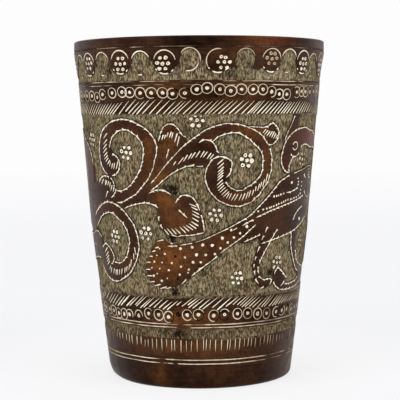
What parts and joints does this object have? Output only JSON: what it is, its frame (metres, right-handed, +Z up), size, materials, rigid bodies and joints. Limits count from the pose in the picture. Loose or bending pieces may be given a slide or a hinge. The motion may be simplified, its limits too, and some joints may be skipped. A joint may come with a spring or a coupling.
{
  "type": "engraved drinking beaker",
  "caption": "Tall tapered metal drinking beaker with a flat recessed foot, a rounded lip and a raised band of birds and scrolls between turned lines.",
  "frame": {"origin": "centre of the foot's contact ring, on the table that the beaker stands on", "axes": "+Z up along the beaker's axis, -Y towards the front of the frieze, +X to the right of it"},
  "size_m": [0.105, 0.105, 0.1398],
  "materials": {
    "wall_metal": "dark brown patina, polished on the raised figures and matted on the sunk grounds",
    "base_metal": "dull brown, turned",
    "solder": "dull grey soft solder",
    "line_paste": "dry chalky paste"
  },
  "bodies": {
    "root": {"side_wall": "wall_metal", "base_disc": "base_metal", "base_solder_ring": "solder", "rim_line_paste": "line_paste", "shoulder_line_paste_upper": "line_paste", "shoulder_line_paste_lower": "line_paste", "waist_line_paste_upper": "line_paste", "waist_line_paste_lower": "line_paste", "foot_line_paste_upper": "line_paste", "foot_line_paste_lower": "line_paste"}
  },
  "joints": []
}
